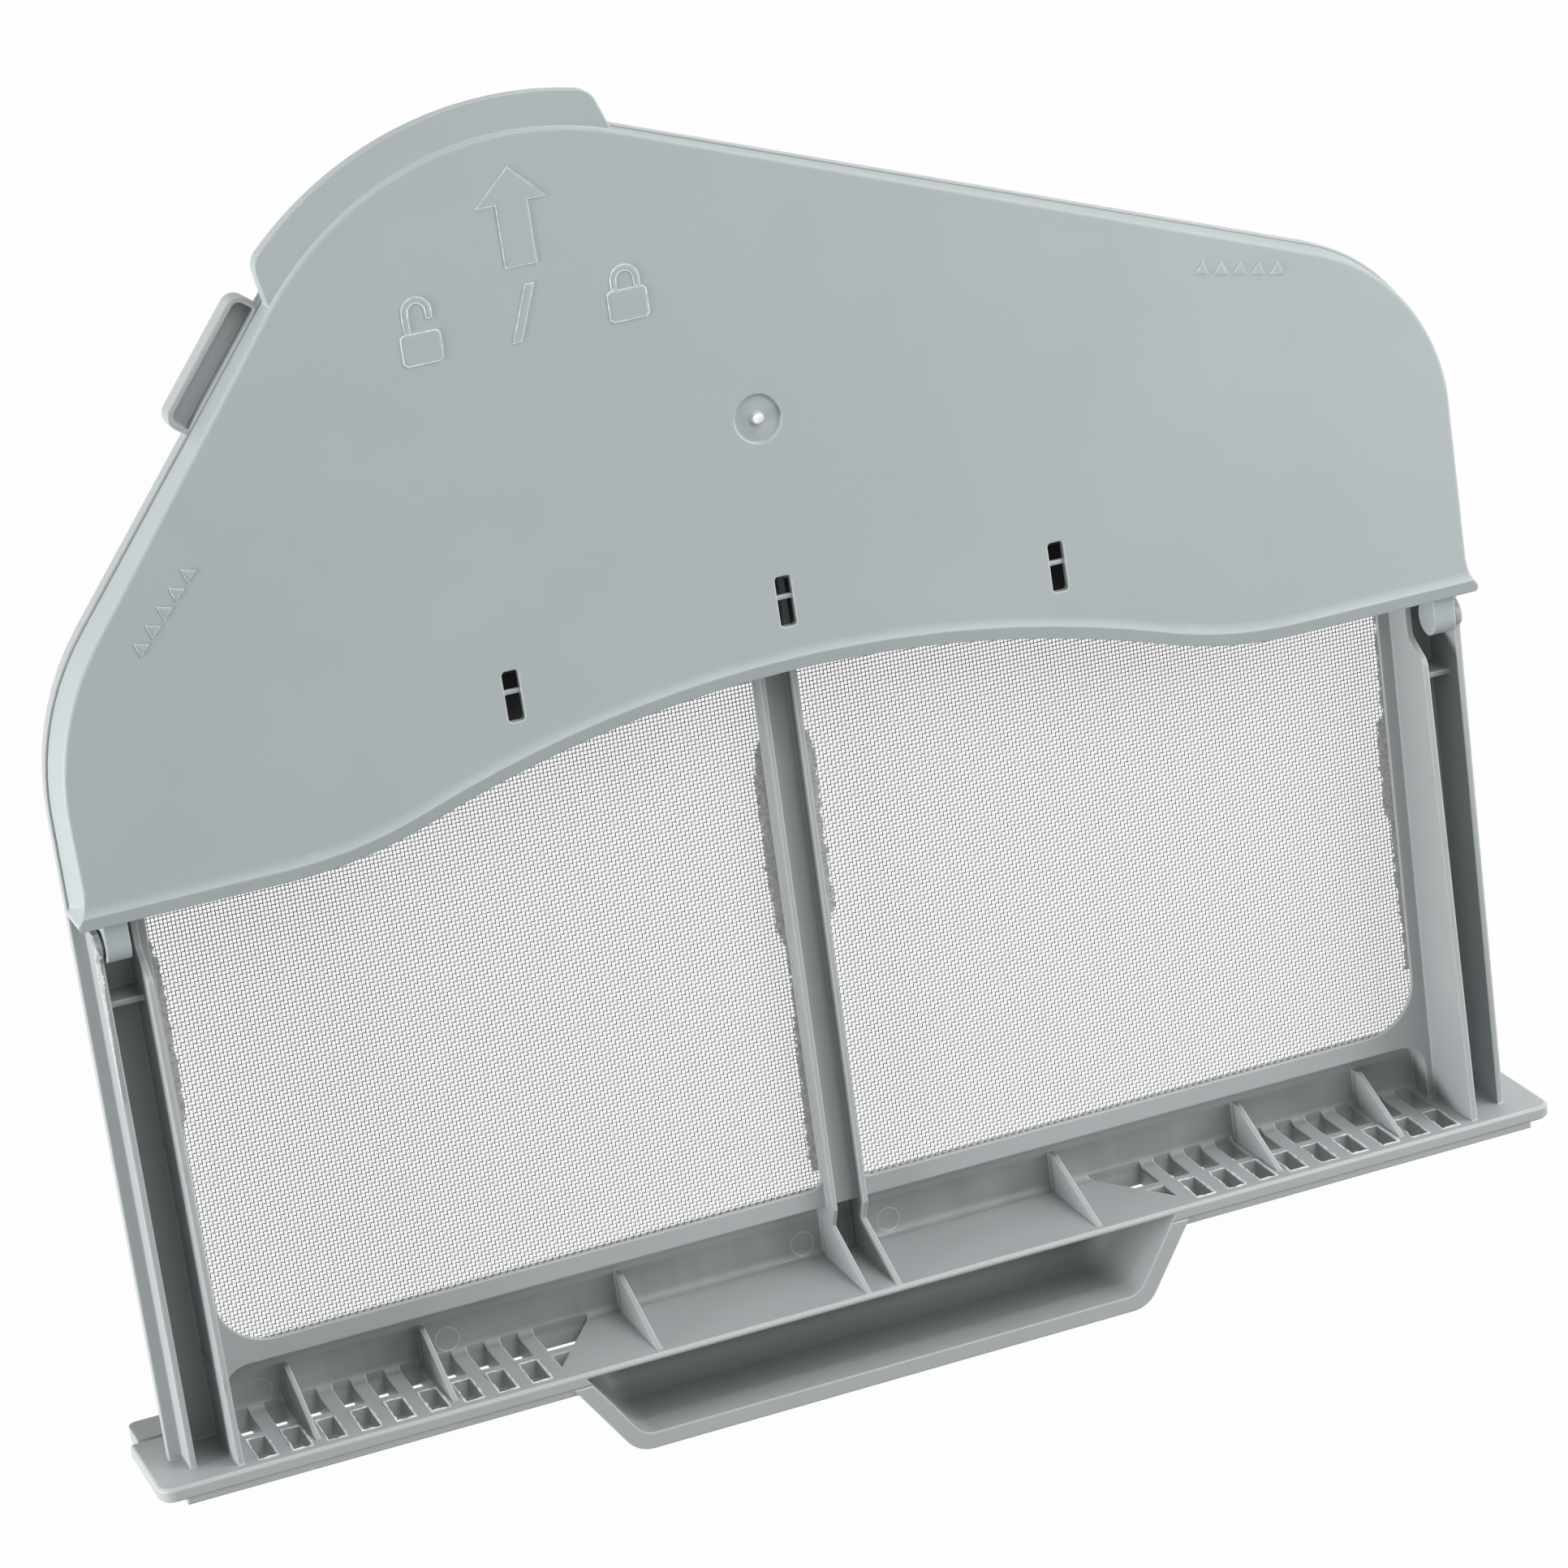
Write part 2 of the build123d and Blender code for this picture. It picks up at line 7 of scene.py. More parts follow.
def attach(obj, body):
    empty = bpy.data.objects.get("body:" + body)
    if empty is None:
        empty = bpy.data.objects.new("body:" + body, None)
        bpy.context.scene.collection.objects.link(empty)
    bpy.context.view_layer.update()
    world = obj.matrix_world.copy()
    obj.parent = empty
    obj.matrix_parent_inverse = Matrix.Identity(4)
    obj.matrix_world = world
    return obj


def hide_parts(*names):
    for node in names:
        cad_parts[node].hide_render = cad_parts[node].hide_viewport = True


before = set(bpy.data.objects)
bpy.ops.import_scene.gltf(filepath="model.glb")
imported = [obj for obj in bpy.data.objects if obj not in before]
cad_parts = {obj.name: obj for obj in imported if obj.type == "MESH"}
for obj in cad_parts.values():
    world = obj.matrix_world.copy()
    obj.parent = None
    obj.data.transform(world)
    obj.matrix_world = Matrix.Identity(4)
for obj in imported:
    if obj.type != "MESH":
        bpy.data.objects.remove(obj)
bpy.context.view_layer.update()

mm = 0.001
scene = bpy.context.scene


# Camera at the photograph's viewing angle
cameraSetup = {
    "place": (-0.3276, 0.3454, 1.0133),
    "aim": (-0.0030, -0.0109, 0.0240),
    "upward": (0.2291, 0.9373, -0.2624),  # this way is up in the picture
    "lens": 118.13,
    "sensor": 36.0,
    "nearest": 0.05,
    "farthest": 20.0,
}


def addCamera(setup):
    place = Vector(setup["place"])
    back = (place - Vector(setup["aim"])).normalized()
    right = Vector(setup["upward"]).cross(back).normalized()
    up = back.cross(right)
    data = bpy.data.cameras.new("photoCamera")
    data.lens = setup["lens"]
    data.sensor_width = setup["sensor"]
    data.clip_start = setup["nearest"]
    data.clip_end = setup["farthest"]
    camera = bpy.data.objects.new("photoCamera", data)
    turn = Matrix((right, up, back)).transposed().to_4x4()
    camera.matrix_world = Matrix.Translation(place) @ turn
    scene.collection.objects.link(camera)
    scene.camera = camera


addCamera(cameraSetup)
print("camera set")


# Small helpers for node trees
noiseMiddle = (0.5, 0.5, 0.5)  # what a noise pattern's colour swings about


def addNode(tree, kind, values=None, **settings):
    node = tree.nodes.new(kind)
    for key, value in settings.items():
        setattr(node, key, value)
    for key, value in (values or {}).items():
        if isinstance(value, bpy.types.NodeSocket):
            tree.links.new(value, node.inputs[key])
        else:
            node.inputs[key].default_value = value
    return node


def maths(tree, operation, first, second=0.0):
    return addNode(tree, "ShaderNodeMath", {0: first, 1: second}, operation=operation).outputs[0]


def vectorMaths(tree, operation, first, second=(0.0, 0.0, 0.0)):
    return addNode(tree, "ShaderNodeVectorMath", {0: first, 1: second}, operation=operation).outputs[0]


def noisePattern(tree, spot, scale, detail):
    return addNode(tree, "ShaderNodeTexNoise", {"Vector": spot, "Scale": scale, "Detail": detail}).outputs


def mapped(tree, value, low, high, most=1.0):
    limits = {"Value": value, "From Min": low, "From Max": high, "To Max": most}
    return addNode(tree, "ShaderNodeMapRange", limits).outputs[0]


def mixColour(tree, share, first, second):
    return addNode(tree, "ShaderNodeMix", {0: share, 6: first, 7: second}, data_type="RGBA").outputs[2]


def newMaterial(name):
    material = bpy.data.materials.new(name)
    material.use_nodes = True
    material.node_tree.nodes.clear()
    return material, material.node_tree


# 1 on a ray from the camera, or one that a mirror or glass sends on
def seenDirectly(tree):
    path = addNode(tree, "ShaderNodeLightPath").outputs
    seen = path["Is Camera Ray"]
    for kind in ("Is Glossy Ray", "Is Transmission Ray"):
        both = addNode(tree, "ShaderNodeMath", {0: seen, 1: path[kind]}, operation="ADD", use_clamp=True)
        seen = both.outputs[0]
    return seen


# White floor and soft studio light
studio = {
    "floorHalf": 4.0,
    "floorColour": (0.80, 0.80, 0.80, 1.0),
    "floorWhite": 0.97,  # share of the floor that is plain white to the camera
    "white": (1.0, 1.0, 1.0, 1.0),
    "whiteLight": 1.0,
    "worldLight": 0.25,
    "lamps": {
        "keyLamp": {"place": (0.66, 1.30, 0.60), "size": 1.0, "power": 12.0},
        "frontLamp": {"place": (0.40, 1.00, 1.20), "size": 0.8, "power": 5.4},
        "sideLamp": {"place": (0.66, 0.12, 0.44), "size": 0.5, "power": 3.1},
        "fillLamp": {"place": (-1.20, -0.05, 0.22), "size": 0.40, "power": 14.5},
    },
}


def addFloor(setup):
    half = setup["floorHalf"]
    corners = [(-half, -half, 0), (half, -half, 0), (half, half, 0), (-half, half, 0)]
    mesh = bpy.data.meshes.new("floor")
    mesh.from_pydata(corners, [], [(0, 1, 2, 3)])
    floor = bpy.data.objects.new("floor", mesh)
    scene.collection.objects.link(floor)
    material, tree = newMaterial("paleFloor")
    matte = addNode(tree, "ShaderNodeBsdfDiffuse", {"Color": setup["floorColour"]}).outputs[0]
    glow = {"Color": setup["white"], "Strength": setup["whiteLight"]}
    white = addNode(tree, "ShaderNodeEmission", glow).outputs[0]
    share = maths(tree, "MULTIPLY", seenDirectly(tree), setup["floorWhite"])
    mix = addNode(tree, "ShaderNodeMixShader", {0: share, 1: matte, 2: white})
    addNode(tree, "ShaderNodeOutputMaterial", {"Surface": mix.outputs[0]})
    mesh.materials.append(material)


def addLamps(setup):
    for name, lamp in setup["lamps"].items():
        data = bpy.data.lights.new(name, "AREA")
        data.shape = "SQUARE"
        data.size = lamp["size"]
        data.energy = lamp["power"]
        place = Vector(lamp["place"])
        light = bpy.data.objects.new(name, data)
        light.location = place
        light.rotation_mode = "QUATERNION"
        light.rotation_quaternion = (-place).to_track_quat("-Z", "Y")
        scene.collection.objects.link(light)


def addWorld(setup):
    world = bpy.data.worlds.new("studioWorld")
    world.use_nodes = True
    tree = world.node_tree
    tree.nodes.clear()
    soft = addNode(tree, "ShaderNodeBackground", {"Color": setup["white"], "Strength": setup["worldLight"]})
    white = addNode(tree, "ShaderNodeBackground", {"Color": setup["white"], "Strength": setup["whiteLight"]})
    shares = {0: seenDirectly(tree), 1: soft.outputs[0], 2: white.outputs[0]}
    mix = addNode(tree, "ShaderNodeMixShader", shares)
    addNode(tree, "ShaderNodeOutputWorld", {"Surface": mix.outputs[0]})
    scene.world = world


scene.view_settings.view_transform = "Standard"
addFloor(studio)
addLamps(studio)
addWorld(studio)
print("studio lit")


# Moulded grey plastic: faint mottling, pale specks, a fine spark-eroded grain, edges lightened as a painted
# highlight, and darker boxes, some of them painted shade
# painted shade: near black for the plate seen through the cover's slots
slotPaintedShade = (0.010, 0.010, 0.010, 1.0)
framePlastic = {
    "colour": (0.411, 0.440, 0.445, 1.0),
    "mottle": (0.380, 0.407, 0.412, 1.0),
    "mottleScale": 55.0,
    "mottleDetail": 4.0,
    "cloud": (0.344, 0.369, 0.376, 1.0),
    "cloudScale": 14.0,
    "cloudDetail": 3.0,
    "cloudRange": (0.35, 0.65),
    "cloudShare": 0.35,
    "speck": (0.720, 0.740, 0.735, 1.0),
    "speckScale": 70.0,
    "speckRadius": 0.012,  # in cells of the speck pattern
    "speckPick": 0.62,  # a cell whose random value is past this has a speck
    # painted highlight along the edges: its colour, width, samples, range and share
    "edge": (0.760, 0.785, 0.780, 1.0),
    "edgeWidth": 0.62 * mm,
    "edgeSamples": 4,
    "edgeRange": (0.995, 0.90),  # how far the rounded normal leaves the flat one, as a cosine
    "edgeHighlightShare": 0.75,
    "grainScale": 1500.0,
    "grainDetail": 2.0,
    "grainDepth": 0.05 * mm,
    "grainStrength": 0.25,
    "roughness": 0.46,
    # boxes in millimetres: low corner, high corner, colour, share, streaks across
    "patches": [
        # stain along the foot of the bay
        ((-152, -127.5, 8.5), (152, -116.5, 12.5), (0.165, 0.165, 0.152, 1.0), 0.75, 90.0),
        # painted shade on the plate behind the cover's slots
        ((-60.3, 13.5, 17.6), (-54.3, 26.7, 19.0), slotPaintedShade, 1.0, 0.0),
        ((2.4, 20.0, 17.6), (8.4, 33.2, 19.0), slotPaintedShade, 1.0, 0.0),
        ((65.1, 13.5, 17.6), (71.1, 26.7, 19.0), slotPaintedShade, 1.0, 0.0),
        # painted shade inside the handle's hollow
        ((-66, -145.8, 3.5), (66, -128.2, 31.0), (0.200, 0.216, 0.220, 1.0), 0.55, 0.0),
    ],
    "patchFade": 0.82,  # a patch fades from here to its sides, as a share of its half size
    "streakLength": 12.0,
    "streakDetail": 5.0,
}
coverPlastic = dict(
    framePlastic,
    colour=(0.402, 0.447, 0.458, 1.0),
    mottle=(0.380, 0.424, 0.434, 1.0),
    # painted highlight along the cover's edges
    edge=(0.780, 0.805, 0.800, 1.0),
    cloud=(0.350, 0.392, 0.402, 1.0),
    roughness=0.50,
    patches=[],
)


# 1 inside a box in Object coordinates, fading to 0 at its sides
def boxShare(tree, spot, low, high, fade):
    middle = [(a + b) / 2 * mm for a, b in zip(low, high)]
    half = [(b - a) / 2 * mm for a, b in zip(low, high)]
    scaled = vectorMaths(tree, "DIVIDE", vectorMaths(tree, "SUBTRACT", spot, middle), half)
    sides = addNode(tree, "ShaderNodeSeparateXYZ", {0: vectorMaths(tree, "ABSOLUTE", scaled)}).outputs
    widest = maths(tree, "MAXIMUM", maths(tree, "MAXIMUM", sides[0], sides[1]), sides[2])
    return mapped(tree, widest, 1.0, fade)


def plasticTint(tree, spot, look):
    blotch = noisePattern(tree, spot, look["mottleScale"], look["mottleDetail"])["Fac"]
    tint = mixColour(tree, blotch, look["colour"], look["mottle"])
    cloud = noisePattern(tree, spot, look["cloudScale"], look["cloudDetail"])["Fac"]
    clouded = mapped(tree, cloud, *look["cloudRange"], look["cloudShare"])
    tint = mixColour(tree, clouded, tint, look["cloud"])
    for low, high, colour, share, streaks in look["patches"]:
        inside = maths(tree, "MULTIPLY", boxShare(tree, spot, low, high, look["patchFade"]), share)
        if streaks:
            stretch = (streaks, look["streakLength"], look["streakLength"])
            drawn = vectorMaths(tree, "MULTIPLY", spot, stretch)
            stain = noisePattern(tree, drawn, 1.0, look["streakDetail"])["Fac"]
            inside = maths(tree, "MULTIPLY", inside, stain)
        tint = mixColour(tree, inside, tint, colour)
    # pale specks, in a few cells of a scattered pattern
    cells = addNode(tree, "ShaderNodeTexVoronoi", {"Vector": spot, "Scale": look["speckScale"]}).outputs
    chosen = maths(tree, "GREATER_THAN", cells["Color"], look["speckPick"])
    near = maths(tree, "LESS_THAN", cells["Distance"], look["speckRadius"])
    return mixColour(tree, maths(tree, "MULTIPLY", chosen, near), tint, look["speck"])


def mouldedPlastic(name, look):
    material, tree = newMaterial(name)
    spot = addNode(tree, "ShaderNodeTexCoord").outputs["Object"]
    tint = plasticTint(tree, spot, look)
    # an edge is where the rounded normal leaves the flat one; there the colour is lightened as a painted
    # highlight
    bevel = addNode(tree, "ShaderNodeBevel", {"Radius": look["edgeWidth"]}, samples=look["edgeSamples"])
    rounded = bevel.outputs[0]
    flat = addNode(tree, "ShaderNodeNewGeometry").outputs["Normal"]
    along = addNode(tree, "ShaderNodeVectorMath", {0: rounded, 1: flat}, operation="DOT_PRODUCT")
    edge = mapped(tree, along.outputs["Value"], *look["edgeRange"], look["edgeHighlightShare"])
    edgeHighlighted = mixColour(tree, edge, tint, look["edge"])
    bump = addNode(tree, "ShaderNodeBump", {
        "Strength": look["grainStrength"],
        "Distance": look["grainDepth"],
        "Height": noisePattern(tree, spot, look["grainScale"], look["grainDetail"])["Fac"],
        "Normal": rounded,
    })
    shader = addNode(tree, "ShaderNodeBsdfPrincipled", {
        "Base Color": edgeHighlighted, "Normal": bump.outputs[0], "Roughness": look["roughness"],
    })
    addNode(tree, "ShaderNodeOutputMaterial", {"Surface": shader.outputs[0]})
    return material


def dress(node, material):
    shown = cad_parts[node]
    shown.data.materials.clear()
    shown.data.materials.append(material)


framePlasticMaterial = mouldedPlastic("framePlastic", framePlastic)
coverPlasticMaterial = mouldedPlastic("coverPlastic", coverPlastic)
dress("frame", framePlasticMaterial)
dress("cover", coverPlasticMaterial)
print("plastics made")


# Woven screens: flat threads that pass over and under each other, cut to the outline of each window's solid
weave = {
    "pitchAcross": 0.857 * mm,
    "pitchAlong": 0.890 * mm,
    "threadWidth": 0.218 * mm,
    "crimp": 0.12 * mm,
    "waver": 0.12 * mm,
    "waverScale": 22.0,
    "waverDetail": 1.0,
    "cutAbove": 0.01,  # the cut looks down on the solid from this far above it
    "cutReach": 0.1,
    # painted shade on the dipping runs and painted light on the rising ones
    "dippingShaded": (0.130, 0.133, 0.130, 1.0),  # runs that dip under the crossing thread
    "risingLit": (0.690, 0.695, 0.690, 1.0),  # runs that come up over it
    "roughness": 0.45,
}


def threadMaterial(look):
    material, tree = newMaterial("screenThread")
    run = addNode(tree, "ShaderNodeAttribute", attribute_name="litThreadRun").outputs["Fac"]
    tint = mixColour(tree, run, look["dippingShaded"], look["risingLit"])
    shader = addNode(tree, "ShaderNodeBsdfPrincipled", {"Base Color": tint, "Roughness": look["roughness"]})
    addNode(tree, "ShaderNodeOutputMaterial", {"Surface": shader.outputs[0]})
    return material


def weaveTree(look):
    tree = bpy.data.node_groups.new("wovenScreen", "GeometryNodeTree")
    face = tree.interface
    face.new_socket("Solid", in_out="INPUT", socket_type="NodeSocketGeometry")
    for name in ("Pitch Across", "Pitch Along", "Thread Width", "Crimp", "Waver", "Waver Scale"):
        face.new_socket(name, in_out="INPUT", socket_type="NodeSocketFloat")
    face.new_socket("Material", in_out="INPUT", socket_type="NodeSocketMaterial")
    face.new_socket("Screen", in_out="OUTPUT", socket_type="NodeSocketGeometry")
    given = addNode(tree, "NodeGroupInput").outputs
    made = addNode(tree, "NodeGroupOutput")

    def sums(operation, first, second=0.0):
        return maths(tree, operation, first, second)

    def vector(x=0.0, y=0.0, z=0.0):
        return addNode(tree, "ShaderNodeCombineXYZ", {"X": x, "Y": y, "Z": z}).outputs[0]

    def parts(value):
        return addNode(tree, "ShaderNodeSeparateXYZ", {0: value}).outputs

    box = addNode(tree, "GeometryNodeBoundBox", {0: given["Solid"]}).outputs
    low, high = parts(box["Min"]), parts(box["Max"])
    middle = [sums("MULTIPLY", sums("ADD", low[axis], high[axis]), 0.5) for axis in range(3)]
    pitch = [given["Pitch Across"], given["Pitch Along"]]
    spans = [sums("SUBTRACT", high[a], low[a]) for a in range(2)]
    counts = [sums("FLOOR", sums("DIVIDE", spans[a], pitch[a])) for a in range(2)]
    lengths = [sums("MULTIPLY", counts[a], pitch[a]) for a in range(2)]
    starts = [sums("SUBTRACT", middle[a], sums("MULTIPLY", lengths[a], 0.5)) for a in range(2)]
    place = addNode(tree, "GeometryNodeInputPosition").outputs[0]
    here = parts(place)
    # where a point lies, counted in threads
    cells = [sums("DIVIDE", sums("SUBTRACT", here[a], starts[a]), pitch[a]) for a in range(2)]
    nearest = [sums("ROUND", cells[a]) for a in range(2)]
    over = sums("FLOORED_MODULO", sums("ADD", nearest[0], nearest[1]), 2.0)
    swing = sums("MULTIPLY", sums("SUBTRACT", sums("MULTIPLY", over, 2.0), 1.0), given["Crimp"])

    # run is the axis that the threads follow, step the axis that they are set out along
    def threads(run, step, sign):
        size = [given["Thread Width"], given["Thread Width"]]
        points = [2, 2]
        size[run] = lengths[run]
        points[run] = sums("ADD", counts[run], 1.0)
        strip = addNode(tree, "GeometryNodeMeshGrid", {
            "Size X": size[0], "Size Y": size[1], "Vertices X": points[0], "Vertices Y": points[1],
        })
        first = [middle[0], middle[1]]
        first[step] = starts[step]
        gap = [0.0, 0.0]
        gap[step] = pitch[step]
        row = addNode(tree, "GeometryNodeMeshLine", {
            "Count": sums("ADD", counts[step], 1.0),
            "Start Location": vector(*first),
            "Offset": vector(*gap),
        })
        laid = addNode(tree, "GeometryNodeInstanceOnPoints", {
            "Points": row.outputs[0], "Instance": strip.outputs["Mesh"],
        })
        real = addNode(tree, "GeometryNodeRealizeInstances", {0: laid.outputs[0]})
        # every second run between crossings climbs, and the others dip; the mark paints the climbing runs
        # lit and the dipping ones in shade
        shift = sums("ADD", nearest[step], float(run == 0))
        count = sums("ADD", sums("FLOOR", cells[run]), shift)
        marked = addNode(
            tree, "GeometryNodeStoreNamedAttribute",
            {"Geometry": real.outputs[0], "Name": "litThreadRun", "Value": sums("FLOORED_MODULO", count, 2.0)},
            data_type="FLOAT", domain="FACE",
        )
        lift = vector(z=sums("ADD", middle[2], sums("MULTIPLY", swing, sign)))
        return addNode(tree, "GeometryNodeSetPosition", {0: marked.outputs[0], "Offset": lift}).outputs[0]

    both = addNode(tree, "GeometryNodeJoinGeometry")
    for run, step, sign in ((1, 0, 1.0), (0, 1, -1.0)):
        tree.links.new(threads(run, step, sign), both.inputs[0])

    # threads whose points fall outside the solid's outline go
    hull = addNode(tree, "GeometryNodeConvexHull", {0: given["Solid"]})
    ray = addNode(tree, "GeometryNodeRaycast", {
        "Target Geometry": hull.outputs[0],
        "Source Position": vector(here[0], here[1], sums("ADD", high[2], look["cutAbove"])),
        "Ray Direction": (0.0, 0.0, -1.0),
        "Ray Length": look["cutReach"],
    })
    missed = addNode(tree, "FunctionNodeBooleanMath", {0: ray.outputs["Is Hit"]}, operation="NOT")
    outside = {0: both.outputs[0], "Selection": missed.outputs[0]}
    cut = addNode(tree, "GeometryNodeDeleteGeometry", outside, domain="POINT")
    wander = noisePattern(tree, place, given["Waver Scale"], look["waverDetail"])["Color"]
    drift = vectorMaths(tree, "SUBTRACT", wander, noiseMiddle)
    shift = vectorMaths(tree, "MULTIPLY", drift, vector(given["Waver"], given["Waver"]))
    loose = addNode(tree, "GeometryNodeSetPosition", {0: cut.outputs[0], "Offset": shift})
    whole = addNode(tree, "GeometryNodeRealizeInstances", {0: loose.outputs[0]})
    clad = {"Geometry": whole.outputs[0], "Material": given["Material"]}
    finished = addNode(tree, "GeometryNodeSetMaterial", clad)
    tree.links.new(finished.outputs[0], made.inputs[0])
    return tree


# Runs a node tree on a start mesh and keeps the result as a plain mesh
def growPiece(name, startMesh, tree, values):
    piece = bpy.data.objects.new(name, startMesh)
    scene.collection.objects.link(piece)
    modifier = piece.modifiers.new(name, "NODES")
    modifier.node_group = tree
    for socket in tree.interface.items_tree:
        if socket.in_out == "INPUT" and socket.name in values:
            modifier[socket.identifier] = values[socket.name]
    evaluated = piece.evaluated_get(bpy.context.evaluated_depsgraph_get())
    grown = bpy.data.meshes.new_from_object(evaluated)
    piece.modifiers.clear()
    piece.data = grown
    grown.name = name
    return piece


screenThread = threadMaterial(weave)
screenTree = weaveTree(weave)
for hand in ("left", "right"):
    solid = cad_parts["mesh_" + hand]
    screen = growPiece("screen_" + hand, solid.data.copy(), screenTree, {
        "Pitch Across": weave["pitchAcross"],
        "Pitch Along": weave["pitchAlong"],
        "Thread Width": weave["threadWidth"],
        "Crimp": weave["crimp"],
        "Waver": weave["waver"],
        "Waver Scale": weave["waverScale"],
        "Material": screenThread,
    })
    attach(screen, "frame")
    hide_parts("mesh_" + hand)
    print("wove", screen.name, len(screen.data.polygons), "faces")


# Pieces added one by one: points in millimetres, laid on the solid that carries them
castFrom = 0.2  # above the whole part
downward = Vector((0, 0, -1))


def heightOn(node, x, y):
    hit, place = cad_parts[node].ray_cast(Vector((x * mm, y * mm, castFrom)), downward)[:2]
    if not hit:
        raise ValueError("nothing of %s under %.1f, %.1f" % (node, x, y))
    return place.z


def placePiece(name, mesh, material, body):
    mesh.materials.clear()
    mesh.materials.append(material)
    piece = bpy.data.objects.new(name, mesh)
    scene.collection.objects.link(piece)
    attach(piece, body)
    print("added", name, len(mesh.polygons), "faces")


def keepPiece(name, points, faces, material, body):
    mesh = bpy.data.meshes.new(name)
    mesh.from_pydata(points, [], faces)
    shape = bmesh.new()
    shape.from_mesh(mesh)
    bmesh.ops.recalc_face_normals(shape, faces=shape.faces)
    shape.to_mesh(mesh)
    shape.free()
    placePiece(name, mesh, material, body)


# A flat-topped raised outline; the inner outline, if any, is left open
def addPlateau(points, faces, node, outline, rise, sink, inner=None):
    loops = [outline] + ([inner] if inner else [])
    count = len(outline)
    first = len(points)
    for loop in loops:
        for level in (rise, -sink):
            points.extend((x * mm, y * mm, heightOn(node, x, y) + level * mm) for x, y in loop)
    for index in range(len(loops)):
        top = first + 2 * index * count
        for step in range(count):
            nextStep = (step + 1) % count
            faces.append((top + step, top + nextStep, top + count + nextStep, top + count + step))
    if inner:
        for level in (0, count):
            outer, hole = first + level, first + 2 * count + level
            for step in range(count):
                nextStep = (step + 1) % count
                faces.append((outer + step, outer + nextStep, hole + nextStep, hole + step))
    else:
        faces.append(tuple(range(first, first + count)))
        faces.append(tuple(range(first + count, first + 2 * count)))


def circlePoints(centre, radius, count):
    turns = [2 * math.pi * step / count for step in range(count)]
    return [(centre[0] + radius * math.cos(turn), centre[1] + radius * math.sin(turn)) for turn in turns]


def placed(outline, centre, angle=0.0):
    c, s = math.cos(math.radians(angle)), math.sin(math.radians(angle))
    return [(centre[0] + c * x - s * y, centre[1] + s * x + c * y) for x, y in outline]


# Pale plastic in two tones: frayed flash round the vents, and a painted highlight along the signs' edges
paleFlashAndHighlight = {
    "colour": (0.760, 0.785, 0.780, 1.0),
    "shade": (0.520, 0.550, 0.550, 1.0),
    "patternScale": 600.0,
    "roughness": 0.55,
}
twoTone = {"detail": 3.0, "range": (0.35, 0.65), "bumpStrength": 0.4, "bumpDepth": 0.1 * mm}


def speckledMaterial(name, look):
    material, tree = newMaterial(name)
    spot = addNode(tree, "ShaderNodeTexCoord").outputs["Object"]
    spread = noisePattern(tree, spot, look["patternScale"], twoTone["detail"])["Fac"]
    tint = mixColour(tree, mapped(tree, spread, *twoTone["range"]), look["shade"], look["colour"])
    bump = addNode(tree, "ShaderNodeBump", {
        "Strength": twoTone["bumpStrength"], "Distance": twoTone["bumpDepth"], "Height": spread,
    })
    shader = addNode(tree, "ShaderNodeBsdfPrincipled", {
        "Base Color": tint, "Roughness": look["roughness"], "Normal": bump.outputs[0],
    })
    addNode(tree, "ShaderNodeOutputMaterial", {"Surface": shader.outputs[0]})
    return material


paleFlashAndHighlightMaterial = speckledMaterial("paleFlashAndHighlight", paleFlashAndHighlight)


# Raised signs on the cover: an arrow, an open and a shut lock, and small wedges where it is pressed shut
coverSigns = {
    "rise": 0.20,
    "sink": 0.10,
    "lineRadius": 0.17,
    "lineSink": 0.5,  # in line radii, how far a line's middle lies under the sign's top
    "lineRounding": 1,
    "arrow": [
        (-44.9, 133.2), (-52.7, 126.0), (-48.5, 126.0), (-48.5, 113.0), (-41.7, 113.0), (-41.7, 126.0),
        (-37.7, 126.0),
    ],
    "slash": [(-49.4, 97.6), (-47.6, 97.6), (-43.2, 109.0), (-45.0, 109.0)],
    "locks": [((-68.5, 103.2), 2.3), ((-24.0, 103.2), 0.0)],  # place, lift of the shackle
    "lockWidth": 8.4,
    "lockHeight": 6.4,
    "lockTrim": 0.7,
    "lockDrop": -2.6,
    "shackleRadius": 3.1,
    "shackleWidth": 1.2,
    "shackleGap": 0.35,
    "shackleLeg": 1.6,
    "shackleSteps": 12,
    "wedgeRows": [((-130.5, 59.5), 46.5), ((112.2, 80.4), -11.5)],  # middle, angle
    "wedge": [(-1.4, -1.2), (1.4, -1.2), (0.0, 1.4)],
    "wedgeCount": 5,
    "wedgePitch": 4.4,
}


def lockOutlines(look, centre, lift):
    wide, trim = look["lockWidth"] / 2, look["lockTrim"]
    low, high = look["lockDrop"] - look["lockHeight"] / 2, look["lockDrop"] + look["lockHeight"] / 2
    box = [
        (-wide + trim, low), (wide - trim, low), (wide, low + trim), (wide, high - trim),
        (wide - trim, high), (-wide + trim, high), (-wide, high - trim), (-wide, low + trim),
    ]
    outer = look["shackleRadius"]
    inner = outer - look["shackleWidth"]
    turns = [math.pi * step / look["shackleSteps"] for step in range(look["shackleSteps"] + 1)]
    foot = high + look["shackleGap"]
    hub = foot + look["shackleLeg"] + lift
    freeFoot = foot + lift
    bow = [(outer, freeFoot)] + [(outer * math.cos(t), hub + outer * math.sin(t)) for t in turns]
    bow += [(-outer, foot), (-inner, foot)]
    bow += [(inner * math.cos(t), hub + inner * math.sin(t)) for t in reversed(turns)] + [(inner, freeFoot)]
    return [placed(box, centre), placed(bow, centre)]


